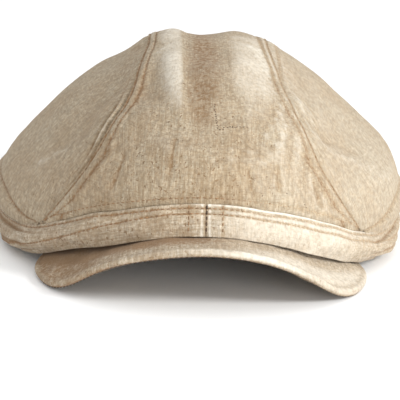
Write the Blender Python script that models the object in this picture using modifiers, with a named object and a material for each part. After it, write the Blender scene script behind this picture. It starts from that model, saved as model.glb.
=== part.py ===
"""A three-panel linen cap with a wide outer band and a short arched visor.

Metres, +Z up. The visor points towards -Y. The cap stands on the back of its
band and on the two corners of its visor. Every cloth piece is a thin shell.
"""

import math

import bmesh
import bpy
import numpy as np
from mathutils import Matrix, Vector

# Driving dimensions
CLOTH = 0.0010
LINING_CLOTH = 0.0007
BOARD = 0.0016
GAP = 0.0003
SEAM_GAP = 0.0005
AXIS_Y = 0.025
APEX_Z = 0.1315
LINING_DROP = 0.007
SWEATBAND_HEIGHT = 0.028
STRAP_WIDTH = 0.014
STRAP_CLOTH = 0.0010
VISOR_REACH = math.radians(50)
STAND = Vector((0, 0.0043, 0.001))

# Half outlines, from the front centre round to the back centre: x, y, z
CROWN_SEAM = [
    (0, -0.112, 0.0555), (0.03, -0.1085, 0.052), (0.0585, -0.095, 0.044),
    (0.08, -0.077, 0.034), (0.0975, -0.056, 0.0245), (0.112, -0.034, 0.021),
    (0.1245, -0.006, 0.0215), (0.131, 0.03, 0.025), (0.1262, 0.066, 0.029),
    (0.1078, 0.095, 0.032), (0.077, 0.115, 0.034), (0.04, 0.1245, 0.035),
    (0, 0.127, 0.035),
]
BAND_EDGE = [
    (0, -0.118, 0.0385), (0.03, -0.1145, 0.035), (0.059, -0.1, 0.025),
    (0.0795, -0.0815, 0.0152), (0.096, -0.06, 0.0078), (0.1075, -0.035, 0.003),
    (0.111, 0.002, 0.0019), (0.1045, 0.042, 0.0015), (0.083, 0.08, 0.0008),
    (0.048, 0.105, 0.0002), (0, 0.116, 0),
]
HEAD_RIM = [
    (0, -0.092, 0.0425), (0.028, -0.0865, 0.039), (0.054, -0.067, 0.0305),
    (0.070, -0.045, 0.0225), (0.0795, -0.020, 0.0165), (0.084, 0.008, 0.0125),
    (0.082, 0.042, 0.009), (0.068, 0.077, 0.006), (0.042, 0.099, 0.0045),
    (0, 0.108, 0.004),
]
VISOR_EDGE = [
    (0, -0.140, 0.0341), (0.030, -0.1375, 0.0302), (0.058, -0.1285, 0.0181),
    (0.077, -0.1145, 0.0058), (0.089, -0.100, 0.0012), (0.096, -0.083, 0.001),
    (0.098, -0.067, 0.0022), (0.0935, -0.052, 0.0045),
]
# The seam between the centre panel and a side panel, in plan
PANEL_SEAM = [
    (0.0975, -0.0568), (0.086, -0.0668), (0.075, -0.0712), (0.065, -0.0685),
    (0.0552, -0.057), (0.0465, -0.0365), (0.04, 0.002), (0.036, 0.04),
    (0.034, 0.08), (0.032, 0.1255),
]

LINEN = (0.60, 0.49, 0.34)
LINEN_DARK = (0.50, 0.40, 0.27)
COTTON = (0.42, 0.36, 0.28)
BOARD_GREY = (0.25, 0.25, 0.24)
BRASS = (0.42, 0.30, 0.14)

# The clasp's layers, as distances from the band
TAB_OUT = 0.0005
BASE_OUT = 0.0020
STRAP_OUT = 0.0034
BASE_PLATE = 0.0006
PIN_X = 0.0045
PIN_OUT = 0.0062
PIN_RADIUS = 0.0006
KNUCKLE_RADIUS = 0.0014


def smooth_curve(points, closed=False, per_span=12):
    """Points along the cubic B-spline that passes through the given points."""
    given = np.array(points, float)
    count = len(given)
    weights = np.zeros((count, count))
    for i in range(count):
        if closed or 0 < i < count - 1:
            for j, weight in ((i - 1, 1), (i, 4), (i + 1, 1)):
                weights[i, j % count] += weight / 6
        else:
            weights[i, i] = 1
    control = np.linalg.solve(weights, given)
    if closed:
        control = np.vstack([control[-1:], control, control[:2]])
    else:
        before = 2 * control[:1] - control[1:2]
        after = 2 * control[-1:] - control[-2:-1]
        control = np.vstack([before, control, after])
    found = []
    for i in range(len(control) - 3):
        for t in np.arange(per_span) / per_span:
            blend = np.array([
                (1 - t) ** 3,
                3 * t**3 - 6 * t**2 + 4,
                -3 * t**3 + 3 * t**2 + 3 * t + 1,
                t**3,
            ])
            found.append(blend @ control[i:i + 4] / 6)
    if not closed:
        found.append(given[-1])
    return np.array(found)


def along(curve, share):
    """Points of a curve at shares 0 to 1 of its length."""
    steps = np.linalg.norm(np.diff(curve, axis=0), axis=1)
    length = np.concatenate([[0], np.cumsum(steps)])
    return np.stack([np.interp(share * length[-1], length, c) for c in curve.T], -1)


def mirrored(half):
    """A closed outline from its half at +X."""
    return half + [(-p[0], *p[1:]) for p in half[-2:0:-1]]


class Ring:
    """A closed outline around the crown's axis, read by its angle from the front."""

    def __init__(self, half, grow=0.0, lift=0.0):
        curve = smooth_curve(mirrored(half), closed=True)
        angle = np.arctan2(curve[:, 0], AXIS_Y - curve[:, 1])
        radius = np.hypot(curve[:, 0], AXIS_Y - curve[:, 1]) + grow
        order = np.argsort(angle)
        turn = 2 * np.pi
        self.angles = np.concatenate([angle[order] + k * turn for k in (-1, 0, 1)])
        self.radii = np.tile(radius[order], 3)
        self.heights = np.tile(curve[order, 2] + lift, 3)

    def radius(self, angle):
        return np.interp(angle, self.angles, self.radii)

    def height(self, angle):
        return np.interp(angle, self.angles, self.heights)

    def point(self, angle, grow=0.0, lift=0.0):
        radius = self.radius(angle) + grow
        return np.stack([
            radius * np.sin(angle),
            AXIS_Y - radius * np.cos(angle),
            self.height(angle) + lift,
        ], -1)


class Dome:
    """A crown surface that rises from a ring to one top height."""

    def __init__(self, ring, top):
        self.ring = ring
        self.top = top

    def height(self, x, y):
        angle = np.arctan2(x, AXIS_Y - y)
        share = np.minimum(1, np.hypot(x, AXIS_Y - y) / self.ring.radius(angle))
        front = np.clip(np.cos(angle), 0, 1) ** 2
        back = np.clip(-np.cos(angle), 0, 1) ** 2
        power = 1.6 - 0.1 * front + 0.6 * back
        root = 1.35 + 0.5 * front + 0.3 * back
        rise = (1 - share**power) ** (1 / root)
        base = self.ring.height(angle)
        dip = 0.0045 * np.exp(-((x / 0.014) ** 2) - ((y - 0.02) / 0.075) ** 2)
        return base + (self.top - base) * rise - dip * rise

    def on(self, plan):
        x, y = plan[..., 0], plan[..., 1]
        return np.stack([x, y, self.height(x, y)], -1)

    def seam(self, share, aside):
        """Plan points of the panel seam of the +X side, moved aside in x."""
        plan = along(smooth_curve(PANEL_SEAM), share)
        angle = np.arctan2(plan[:, 0], AXIS_Y - plan[:, 1])
        outer = Ring(CROWN_SEAM).radius(angle)
        scale = self.ring.radius(angle) / outer
        distance = np.hypot(plan[:, 0], AXIS_Y - plan[:, 1])
        reach = np.minimum(distance, outer) * scale
        found = np.stack([reach * np.sin(angle), AXIS_Y - reach * np.cos(angle)], -1)
        run = np.gradient(found, axis=0)
        run /= np.linalg.norm(run, axis=1)[:, None]
        across = np.stack([run[:, 1], -run[:, 0]], -1) * np.sign(aside)
        ahead = found + across * abs(aside)
        fall = (self.height(*ahead.T) - self.height(*found.T)) / aside
        return found + across * (abs(aside) / np.hypot(1, fall))[:, None]


def even_ends(count):
    """Shares from 0 to 1 that crowd towards both ends, most of all at the ends."""
    share = 0.5 - 0.5 * np.cos(np.linspace(0, math.pi, count))
    close = 0.22 * share[1]
    return np.concatenate([[0, close], share[1:-1], [1 - close, 1]])


def angle_of(point):
    return math.atan2(point[0], AXIS_Y - point[1])


def centre_grid(dome, rows, columns):
    """The panel over the middle: rows from seam to seam, from front arc to back arc."""
    t = even_ends(rows)[:, None]
    seam = dome.seam(t[:, 0], -SEAM_GAP)
    across = np.linspace(-1, 1, columns)
    back_end = angle_of(seam[-1])
    front = dome.ring.point(across * angle_of(seam[0]))[:, :2]
    back = dome.ring.point(math.pi - across * (math.pi - back_end))[:, :2]
    middle = dome.ring.point(np.array([0, math.pi]))[:, 1]
    wide = (1 - t) * front[:, 0] / front[-1, 0] + t * back[:, 0] / back[-1, 0]
    bow = (1 - t) * (front[:, 1] - front[-1, 1]) / (middle[0] - front[-1, 1])
    bow = bow + t * (back[:, 1] - back[-1, 1]) / (middle[1] - back[-1, 1])
    along_middle = (1 - t) * middle[0] + t * middle[1]
    x = seam[:, :1] * wide
    y = seam[:, 1:] + (along_middle - seam[:, 1:]) * bow
    return dome.on(np.stack([x, y], -1))


def side_grid(dome, rows, columns):
    """The panel over the +X side: strips from the seam down to the ring."""
    share = even_ends(rows)
    top = dome.seam(share, SEAM_GAP)
    first, last = angle_of(top[0]), angle_of(top[-1])
    mix = 0.5 * share + 0.5 * np.linspace(0, 1, len(share))
    low = dome.ring.point(first + (last - first) * mix)[:, :2]
    top, low = top[1:-1], low[1:-1]
    down = np.sin(np.linspace(0, math.pi / 2, columns))[None, :, None]
    return dome.on(top[:, None] * (1 - down) + low[:, None] * down)


def band_section(angles, shares, out=0.0):
    """Points of the band's swollen face: share 0 at the crown seam, 1 at the foot."""
    crown = Ring(CROWN_SEAM)
    edge = Ring(BAND_EDGE)
    lower = edge.point(angles)
    upper = crown.point(angles, -(CLOTH + 2 * GAP), -4 * GAP)
    across = edge.radius(angles) - crown.radius(angles)
    down = edge.height(angles) - crown.height(angles)
    length = np.hypot(across, down)
    normal = np.stack([
        np.sin(angles) * -down / length,
        -np.cos(angles) * -down / length,
        across / length,
    ], -1)
    side = np.sin(angles) ** 2
    swell = (0.0015 + 0.009 * side)[:, None] * np.sin(np.pi * shares)[None] + out
    straight = upper[:, None] + (lower - upper)[:, None] * shares[None, :, None]
    return straight + normal[:, None] * swell[..., None]


def band_grid(columns):
    """Half of the outer band, with its lower edge turned in to the head rim."""
    joint = GAP / 0.130
    angles = np.linspace(joint, math.pi - joint, columns)
    tuck = Ring(CROWN_SEAM).point(angles, -(CLOTH + 4 * GAP), 0.0004)[:, None]
    outer = band_section(angles, np.linspace(0, 1, 8))
    edge = Ring(BAND_EDGE)
    rim = Ring(HEAD_RIM)
    turn = edge.point(angles, -0.0016, 0.0004)[:, None]
    start = edge.point(angles, -0.003, 0.0022)
    end = rim.point(angles, 0.0012, 0.0016)
    shares = np.linspace(0, 1, 4)[None, :, None]
    inner = start[:, None] * (1 - shares) + end[:, None] * shares
    return np.concatenate([tuck, outer, turn, inner], axis=1)


def grid_normals(grid):
    down, across = np.gradient(grid, axis=(0, 1))
    normal = np.cross(across, down)
    normal /= np.linalg.norm(normal, axis=2)[..., None]
    return normal * np.sign(normal[..., 2:].mean())


def visor_grid(rows, columns, inset, lift=0.0):
    """The visor's middle surface: rows run from the head rim to the front edge."""
    across = np.linspace(-1, 1, columns) * (1 - inset * 0.8)
    rim = Ring(HEAD_RIM)
    root = rim.point(across * VISOR_REACH, 0.0012, -0.0056)
    half = VISOR_EDGE
    outline = smooth_curve([(-p[0], *p[1:]) for p in half[:0:-1]] + half)
    edge = along(outline, (across + 1) / 2)
    out = (inset * 0.4 + (1 - inset * 1.6) * np.linspace(0, 1, rows))[:, None, None]
    arch = np.sin(np.pi * out) * [0, 0, 0.0004]
    grid = root[None] * (1 - out) + edge[None] * out + arch
    return grid + grid_normals(grid) * lift


def plain_material(name, colour, roughness, metallic=0.0):
    material = bpy.data.materials.new(name)
    material.use_nodes = True
    shader = material.node_tree.nodes["Principled BSDF"]
    shader.inputs["Base Color"].default_value = (*colour, 1)
    shader.inputs["Roughness"].default_value = roughness
    shader.inputs["Metallic"].default_value = metallic
    return material


def lofted(name, grid, outward, closed=False):
    """A mesh object whose faces join a grid of points, facing outward."""
    rows, columns = grid.shape[:2]
    mesh = bmesh.new()
    verts = [[mesh.verts.new(p) for p in row] for row in grid]
    for i in range(rows - 1 + closed):
        after = (i + 1) % rows
        for j in range(columns - 1):
            corners = (verts[i][j], verts[i][j + 1], verts[after][j + 1], verts[after][j])
            mesh.faces.new(corners)
    mesh.normal_update()
    mesh.faces.ensure_lookup_table()
    middle = mesh.faces[len(mesh.faces) // 2]
    if middle.normal.dot(Vector(outward(middle.calc_center_median()))) < 0:
        bmesh.ops.reverse_faces(mesh, faces=mesh.faces)
    data = bpy.data.meshes.new(name)
    mesh.to_mesh(data)
    mesh.free()
    data.shade_smooth()
    return bpy.data.objects.new(name, data)


def from_axis(point):
    return (point.x, point.y - AXIS_Y, 0.02)


def upward(point):
    return (0, 0, 1)


def cloth_piece(parts, name, grid, thickness, material, outward, side=-1, closed=False):
    """A thin shell on one side of a lofted surface: -1 under it, 1 over it."""
    piece = lofted(name, grid, outward, closed)
    solid = piece.modifiers.new("Thickness", "SOLIDIFY")
    solid.thickness = thickness
    solid.offset = side
    piece.data.materials.append(material)
    piece.location = STAND
    parts.objects.link(piece)
    return piece


def add_crown(parts, material):
    dome = Dome(Ring(CROWN_SEAM), APEX_Z)
    centre = centre_grid(dome, 23, 19)
    cloth_piece(parts, "crown_centre_panel", centre, CLOTH, material, upward)
    side = side_grid(dome, 23, 13)
    cloth_piece(parts, "crown_right_panel", side, CLOTH, material, from_axis)
    cloth_piece(parts, "crown_left_panel", side * [-1, 1, 1], CLOTH, material, from_axis)


def add_band(parts, material):
    half = band_grid(31)
    for name, flip in (("band_right", 1), ("band_left", -1)):
        cloth_piece(parts, name, half * [flip, 1, 1], CLOTH, material, from_axis)


def add_visor(parts, linen, under, board):
    reach = BOARD / 2 + GAP
    top = visor_grid(8, 31, 0.0, reach)
    cloth_piece(parts, "visor_top_cover", top, CLOTH, linen, upward, 1)
    stiff = visor_grid(7, 27, 0.05)
    cloth_piece(parts, "visor_board", stiff, BOARD, board, upward, 0)
    low = visor_grid(8, 31, 0.0, -reach)
    cloth_piece(parts, "visor_under_cover", low, CLOTH, under, upward, -1)


def add_lining(parts, material):
    ring = Ring(HEAD_RIM, 0.0, SWEATBAND_HEIGHT + 4 * GAP)
    dome = Dome(ring, APEX_Z - LINING_DROP)
    centre = centre_grid(dome, 17, 13)
    cloth_piece(parts, "lining_centre_panel", centre, LINING_CLOTH, material, upward)
    side = side_grid(dome, 17, 9)
    cloth_piece(parts, "lining_right_panel", side, LINING_CLOTH, material, from_axis)
    mirror = side * [-1, 1, 1]
    cloth_piece(parts, "lining_left_panel", mirror, LINING_CLOTH, material, from_axis)


def add_sweatband(parts, material):
    rim = Ring(HEAD_RIM)
    angles = np.linspace(-math.pi, math.pi, 49)[:-1]
    lifts = np.linspace(0, SWEATBAND_HEIGHT, 5)
    grid = np.stack([rim.point(angles, 0, lift) for lift in lifts], axis=1)
    cloth_piece(parts, "sweatband", grid, CLOTH, material, from_axis, -1, True)


def strap_grid(first, last, columns, heights):
    """A strip along the back of the band, its distance from the band by angle."""
    angles = np.linspace(math.radians(first), math.radians(last), columns)
    half = STRAP_WIDTH / 2 / 0.0362
    shares = np.linspace(0.5 - half, 0.5 + half, 3)
    plain = band_section(angles, shares)
    out = band_section(angles, shares, 1.0)
    height = np.interp(np.degrees(angles), *heights)[:, None, None]
    return plain + (out - plain) * height


def add_straps(parts, material):
    rise = ([152, 167, 173, 190], [TAB_OUT, TAB_OUT, STRAP_OUT, STRAP_OUT])
    strap = strap_grid(152, 186, 19, rise)
    cloth_piece(parts, "back_strap", strap, STRAP_CLOTH, material, from_axis, 1)
    tab = strap_grid(176.5, 202, 15, ([170, 210], [TAB_OUT, TAB_OUT]))
    cloth_piece(parts, "back_tab", tab, STRAP_CLOTH, material, from_axis, 1)


def clasp_place():
    """Where the clasp sits: x along the strap, y up the band, z away from it."""
    middle = band_section(np.array([math.pi]), np.array([0.5]), BASE_OUT)[0, 0]
    ends = band_section(np.array([math.pi]), np.array([0.0, 1.0]))[0]
    up = Vector(ends[0] - ends[1]).normalized()
    out = Vector((-1, 0, 0)).cross(up)
    turn = Matrix((Vector((-1, 0, 0)), up, out)).transposed().to_4x4()
    return Matrix.Translation(Vector(middle) + STAND) @ turn


def block(name, size, centre, bevel=0.0):
    mesh = bmesh.new()
    bmesh.ops.create_cube(mesh, size=1)
    bmesh.ops.scale(mesh, vec=size, verts=mesh.verts)
    bmesh.ops.translate(mesh, vec=centre, verts=mesh.verts)
    data = bpy.data.meshes.new(name)
    mesh.to_mesh(data)
    mesh.free()
    made = bpy.data.objects.new(name, data)
    if bevel:
        edge = made.modifiers.new("Edges", "BEVEL")
        edge.width = bevel
        edge.segments = 2
    return made


def rod(name, radius, length, centre, sides=20):
    """A cylinder along the local y."""
    mesh = bmesh.new()
    bmesh.ops.create_cone(
        mesh, cap_ends=True, segments=sides, radius1=radius, radius2=radius, depth=length
    )
    turn = Matrix.Rotation(math.radians(90), 3, "X")
    bmesh.ops.rotate(mesh, matrix=turn, verts=mesh.verts)
    bmesh.ops.translate(mesh, vec=centre, verts=mesh.verts)
    data = bpy.data.meshes.new(name)
    mesh.to_mesh(data)
    mesh.free()
    data.shade_smooth()
    data.set_sharp_from_angle(angle=math.radians(40))
    return bpy.data.objects.new(name, data)


def combine(target, other, operation, cutters):
    """Join or cut the target with a helper that stays out of the render."""
    cutters.objects.link(other)
    other.hide_render = True
    other.display_type = "WIRE"
    step = target.modifiers.new(other.name, "BOOLEAN")
    step.operation = operation
    step.object = other


def add_clasp(parts, cutters, material):
    place = bpy.data.objects.new("clasp_place", None)
    parts.objects.link(place)
    place.matrix_world = clasp_place()
    pin_z = PIN_OUT - BASE_OUT

    base = block("clasp_base", (0.0140, 0.0170, BASE_PLATE), (0, 0, BASE_PLATE / 2))
    ear_top = pin_z + 0.0014
    for number, y in enumerate((-0.0081, 0.0081)):
        size = (0.0034, 0.0008, ear_top - 0.0002)
        ear = block(f"ear_{number}", size, (PIN_X, y, (ear_top + 0.0002) / 2))
        ear.parent = place
        combine(base, ear, "UNION", cutters)
    bore = rod("base_bore", PIN_RADIUS + GAP, 0.030, (PIN_X, 0, pin_z))
    bore.parent = place
    combine(base, bore, "DIFFERENCE", cutters)

    pin = rod("clasp_pin", PIN_RADIUS, 0.0178, (PIN_X, 0, pin_z))

    hinge = bpy.data.objects.new("lever_hinge", None)
    parts.objects.link(hinge)
    hinge.parent = place
    hinge.location = (PIN_X, 0, pin_z)
    lever = block("clasp_lever", (0.0120, 0.0146, 0.0008), (-0.0060, 0, -0.0006))
    knuckle = rod("lever_knuckle", KNUCKLE_RADIUS, 0.0146, (0, 0, 0))
    knuckle.parent = hinge
    combine(lever, knuckle, "UNION", cutters)
    hole = rod("lever_bore", PIN_RADIUS + GAP, 0.030, (0, 0, 0))
    hole.parent = hinge
    combine(lever, hole, "DIFFERENCE", cutters)

    for piece, holder in ((base, place), (pin, place), (lever, hinge)):
        piece.parent = holder
        piece.data.materials.append(material)
        parts.objects.link(piece)


def main():
    for old in list(bpy.data.objects):
        bpy.data.objects.remove(old)
    parts = bpy.data.collections.new("linen_cap")
    cutters = bpy.data.collections.new("cutters")
    for collection in (parts, cutters):
        bpy.context.scene.collection.children.link(collection)
    linen = plain_material("linen", LINEN, 0.9)
    under = plain_material("visor_underside", LINEN_DARK, 0.9)
    cotton = plain_material("lining_cotton", COTTON, 0.85)
    board = plain_material("visor_board", BOARD_GREY, 0.5)
    brass = plain_material("aged_brass", BRASS, 0.4, 1.0)
    add_crown(parts, linen)
    add_band(parts, linen)
    add_visor(parts, linen, under, board)
    add_lining(parts, cotton)
    add_sweatband(parts, cotton)
    add_straps(parts, linen)
    add_clasp(parts, cutters, brass)


main()
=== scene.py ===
"""Linen cap with a short visor: the looks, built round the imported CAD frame."""
import math

import bpy
import numpy as np
from mathutils import Matrix, Vector


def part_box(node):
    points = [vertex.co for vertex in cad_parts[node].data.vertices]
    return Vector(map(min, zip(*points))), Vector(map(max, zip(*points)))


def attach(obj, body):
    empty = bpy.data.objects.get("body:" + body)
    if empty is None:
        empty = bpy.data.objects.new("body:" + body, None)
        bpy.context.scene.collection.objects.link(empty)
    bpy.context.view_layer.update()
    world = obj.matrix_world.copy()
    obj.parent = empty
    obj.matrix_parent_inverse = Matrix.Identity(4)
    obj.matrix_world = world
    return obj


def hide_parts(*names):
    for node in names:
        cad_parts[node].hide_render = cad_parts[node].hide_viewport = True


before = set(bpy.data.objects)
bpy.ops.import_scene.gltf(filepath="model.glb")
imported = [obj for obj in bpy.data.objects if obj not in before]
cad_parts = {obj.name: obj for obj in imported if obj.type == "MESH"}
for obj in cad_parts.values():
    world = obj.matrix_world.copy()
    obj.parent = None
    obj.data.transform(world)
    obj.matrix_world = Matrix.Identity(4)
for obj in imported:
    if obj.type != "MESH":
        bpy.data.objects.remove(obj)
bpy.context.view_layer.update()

# Thicknesses and sizes in metres; the outlines turn about an axis at AXIS_Y
CLOTH = 0.0008
LINING_CLOTH = 0.0005
STRAP_CLOTH = 0.001
BOARD = 0.0016
GAP = 0.0003
AXIS_Y = 0.025
APEX_Z = 0.1315
TOP_DIP = 0.0045
BAND_SWELL = 0.0015
FLANK_SWELL = 0.009
LINING_DROP = 0.007
SWEATBAND_HEIGHT = 0.028
BAND_DEPTH_BEHIND = 0.0362
STRAP_WIDTH = 0.014
TAB_OUT = 0.0005
STRAP_OUT = 0.0034
VISOR_REACH = math.radians(50)

# Outlines in metres, +X half: x, y, z from the front round to the back.
CROWN_SEAM = [
    (0, -0.112, 0.0555), (0.03, -0.1085, 0.052), (0.0585, -0.095, 0.044),
    (0.08, -0.077, 0.034), (0.0975, -0.056, 0.0245), (0.112, -0.034, 0.021),
    (0.1245, -0.006, 0.0215), (0.131, 0.03, 0.025), (0.1262, 0.066, 0.029),
    (0.1078, 0.095, 0.032), (0.077, 0.115, 0.034), (0.04, 0.1245, 0.035),
    (0, 0.127, 0.035),
]
BAND_EDGE = [
    (0, -0.118, 0.0385), (0.03, -0.1145, 0.035), (0.059, -0.1, 0.025),
    (0.0795, -0.0815, 0.0152), (0.096, -0.06, 0.0078), (0.1075, -0.035, 0.003),
    (0.111, 0.002, 0.0019), (0.1045, 0.042, 0.0015), (0.083, 0.08, 0.0008),
    (0.048, 0.105, 0.0002), (0, 0.116, 0),
]
HEAD_RIM = [
    (0, -0.092, 0.0425), (0.028, -0.0865, 0.039), (0.054, -0.067, 0.0305),
    (0.07, -0.045, 0.0225), (0.0795, -0.02, 0.0165), (0.084, 0.008, 0.0125),
    (0.082, 0.042, 0.009), (0.068, 0.077, 0.006), (0.042, 0.099, 0.0045),
    (0, 0.108, 0.004),
]
VISOR_EDGE = [
    (0, -0.14, 0.0341), (0.03, -0.1375, 0.0302), (0.058, -0.1285, 0.0181),
    (0.077, -0.1145, 0.0058), (0.089, -0.1, 0.0012), (0.096, -0.083, 0.001),
    (0.098, -0.067, 0.0022), (0.0935, -0.052, 0.0045),
]
# The seam between the middle panel and the +X side panel, seen from above.
PANEL_SEAM = [
    (0.0975, -0.0568), (0.086, -0.0668), (0.075, -0.0712), (0.065, -0.0685),
    (0.0552, -0.057), (0.0465, -0.0365), (0.04, 0.002), (0.036, 0.04),
    (0.034, 0.08), (0.032, 0.1255),
]


# OUTLINES

def smooth_curve(points, closed=False, per_span=12):
    """An interpolating cubic B-spline through the points."""
    given = np.array(points, float)
    line = np.eye(len(given))
    matrix = 4 * line + np.roll(line, 1, 0) + np.roll(line, -1, 0)
    target = given * 6
    if not closed:
        matrix[[0, -1]] = line[[0, -1]]
        target[[0, -1]] = given[[0, -1]]
    control = np.linalg.solve(matrix, target)
    if closed:
        control = np.concatenate([control[-1:], control, control[:2]])
    else:
        ends = 2 * control[[0, -1]] - control[[1, -2]]
        control = np.concatenate([ends[:1], control, ends[1:]])
    t = np.arange(per_span)[:, None] / per_span
    blend = [(1 - t) ** 3, 3 * t**3 - 6 * t**2 + 4, -3 * t**3 + 3 * t**2 + 3 * t + 1, t**3]
    blend = np.concatenate(blend, axis=1) / 6
    found = [blend @ control[k:k + 4] for k in range(len(control) - 3)]
    return np.concatenate(found if closed else found + [given[-1:]])


def read_at(distance, reach, values):
    """The values' rows, read at a distance along them."""
    return np.stack([np.interp(distance, reach, c) for c in values.T], -1)


def along(curve, share):
    """Points of the curve at these shares of its length."""
    reach = lengths(curve[:, None], 0)[:, 0]
    return read_at(share * reach[-1], reach, curve)


def step(low, high, value):
    """0 below low, 1 above high, smooth between."""
    share = np.clip((value - low) / (high - low), 0, 1)
    return share * share * (3 - 2 * share)


def norms(vectors):
    return np.linalg.norm(vectors, axis=-1)


def hill(value, middle, width):
    """1 at the middle, falling away to either side."""
    return np.exp(-(((value - middle) / width) ** 2))


def ripple(points, length, seed, waves=28):
    """Smooth unit noise from a few plane waves of about this length."""
    chance = np.random.default_rng(seed)
    way = chance.normal(size=(waves, 3))
    way /= norms(way)[:, None]
    way *= 2 * np.pi / length * chance.uniform(0.6, 1.4, (waves, 1))
    phase = chance.uniform(0, 2 * np.pi, waves)
    return np.cos(points @ way.T + phase).sum(-1) * math.sqrt(2 / waves)


def polar(points):
    """Angle about the axis, from the front, and distance from the axis."""
    x, y = points[..., 0], points[..., 1]
    return np.arctan2(x, AXIS_Y - y), np.hypot(x, AXIS_Y - y)


def placed(angle, radius):
    return np.stack([radius * np.sin(angle), AXIS_Y - radius * np.cos(angle)], -1)


class Ring:
    """A closed outline around the crown's axis, read by its angle from the front."""

    def __init__(self, half, grow=0.0, lift=0.0):
        outline = half + [(-p[0], *p[1:]) for p in half[-2:0:-1]]
        curve = smooth_curve(outline, closed=True)
        angle, radius = polar(curve)
        order = np.argsort(angle)
        self.angles = np.concatenate([angle[order] + k * 2 * np.pi for k in (-1, 0, 1)])
        self.radii = np.tile(radius[order] + grow, 3)
        self.heights = np.tile(curve[order, 2] + lift, 3)

    def radius(self, angle):
        return np.interp(angle, self.angles, self.radii)

    def height(self, angle):
        return np.interp(angle, self.angles, self.heights)

    def point(self, angle, grow=0.0, lift=0.0):
        height = self.height(angle) + lift
        plan = placed(angle, self.radius(angle) + grow)
        return np.concatenate([plan, height[..., None]], -1)


class Dome:
    """A crown surface that rises from a ring to one top height."""

    def __init__(self, ring, top):
        self.ring = ring
        self.top = top

    def share(self, plan):
        angle, distance = polar(plan)
        return np.minimum(1, distance / self.ring.radius(angle))

    def height(self, plan):
        angle = polar(plan)[0]
        front = np.clip(np.cos(angle), 0, 1) ** 2
        back = np.clip(-np.cos(angle), 0, 1) ** 2
        # A rounder shoulder all round, drawn out at the front and more so behind
        power = 1.6 - 0.1 * front + 0.6 * back
        root = 1.35 + 0.5 * front + 0.3 * back
        rise = (1 - self.share(plan) ** power) ** (1 / root)
        base = self.ring.height(angle)
        dip = TOP_DIP * hill(plan[..., 0], 0, 0.014) * hill(plan[..., 1], 0.02, 0.075)
        return base + (self.top - base) * rise - dip * rise

    def on(self, plan):
        return np.concatenate([plan, self.height(plan)[..., None]], -1)

    def seam(self, share, aside):
        """Plan points of the +X panel seam, moved aside over the surface."""
        plan = along(smooth_curve(PANEL_SEAM), share)
        angle, distance = polar(plan)
        outer = Ring(CROWN_SEAM).radius(angle)
        scale = self.ring.radius(angle) / outer
        found = placed(angle, np.minimum(distance, outer) * scale)
        run = np.gradient(found, axis=0)
        run /= norms(run)[:, None]
        across = np.stack([run[:, 1], -run[:, 0]], -1) * np.sign(aside)
        ahead = found + across * abs(aside)
        fall = (self.height(ahead) - self.height(found)) / aside
        return found + across * (abs(aside) / np.hypot(1, fall))[:, None]


# GRIDS

def lengths(grid, axis):
    """Distance of each grid point from the first one of its row or column."""
    steps = norms(np.diff(grid, axis=axis))
    start = np.zeros_like(np.take(steps, [0], axis=axis))
    return np.cumsum(np.concatenate([start, steps], axis=axis), axis=axis)


def evened(grid, axis, count):
    """The grid with each line along the axis resampled to equal 3-D steps."""
    lines = np.moveaxis(grid, axis, 0)
    found = [along(lines[:, k], np.linspace(0, 1, count)) for k in range(lines.shape[1])]
    return np.moveaxis(np.stack(found, 1), 0, axis)


def normals_of(grid, ring=False):
    padded = np.concatenate([grid[-1:], grid, grid[:1]]) if ring else grid
    down, across = np.gradient(padded, axis=(0, 1))
    normal = np.cross(across, down)[1:-1] if ring else np.cross(across, down)
    return normal / np.maximum(norms(normal), 1e-12)[..., None]


def outward_normals(grid, ring=False):
    """Normals that point away from the inside of the crown."""
    normal = normals_of(grid, ring)
    away = grid - np.array([0, AXIS_Y, 0.02])
    return normal * np.sign((normal * away).sum())


def blurred(field, times):
    """The grid's values, each averaged with its neighbours that many times."""
    for _ in range(times):
        p = np.pad(field, 1, mode="edge")
        field = (p[:-2, 1:-1] + p[2:, 1:-1] + p[1:-1, :-2] + p[1:-1, 2:]) / 4
    return field


def track(lines, distance, value):
    """One point on each row of the grid, where its distance reaches the value."""
    value = np.broadcast_to(value, len(lines))
    return np.array([read_at(*row) for row in zip(value, distance, lines)])


def centre_grid(dome, rows, columns, aside):
    """The panel over the middle: rows from seam to seam, from front to back."""
    t = (0.5 - 0.5 * np.cos(np.linspace(0, math.pi, 5 * rows)))[:, None]
    seam = dome.seam(t[:, 0], aside)
    across = np.linspace(-1, 1, columns)
    first, last = polar(seam[[0, -1]])[0]
    front = dome.ring.point(across * first)[:, :2]
    back = dome.ring.point(math.pi - across * (math.pi - last))[:, :2]
    middle = dome.ring.point(np.array([0, math.pi]))[:, 1]
    wide = (1 - t) * front[:, 0] / front[-1, 0] + t * back[:, 0] / back[-1, 0]
    bow = (1 - t) * (front[:, 1] - front[-1, 1]) / (middle[0] - front[-1, 1])
    bow = bow + t * (back[:, 1] - back[-1, 1]) / (middle[1] - back[-1, 1])
    along_middle = (1 - t) * middle[0] + t * middle[1]
    x = seam[:, :1] * wide
    y = seam[:, 1:] + (along_middle - seam[:, 1:]) * bow
    return evened(evened(dome.on(np.stack([x, y], -1)), 0, rows), 1, columns)


def side_grid(dome, rows, columns, aside):
    """The panel over the +X side: strips from the seam down to the ring."""
    share = np.linspace(0.004, 0.996, rows)
    share = np.concatenate([[0], share, [1]])
    top = dome.seam(share, aside)
    first, last = polar(top[[0, -1]])[0]
    mix = 0.5 * share + 0.5 * np.linspace(0, 1, len(share))
    low = dome.ring.point(first + (last - first) * mix)[:, :2]
    top, low = top[1:-1], low[1:-1]
    down = np.sin(np.linspace(0, math.pi / 2, 5 * columns))[None, :, None]
    return evened(dome.on(top[:, None] * (1 - down) + low[:, None] * down), 1, columns)


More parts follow.
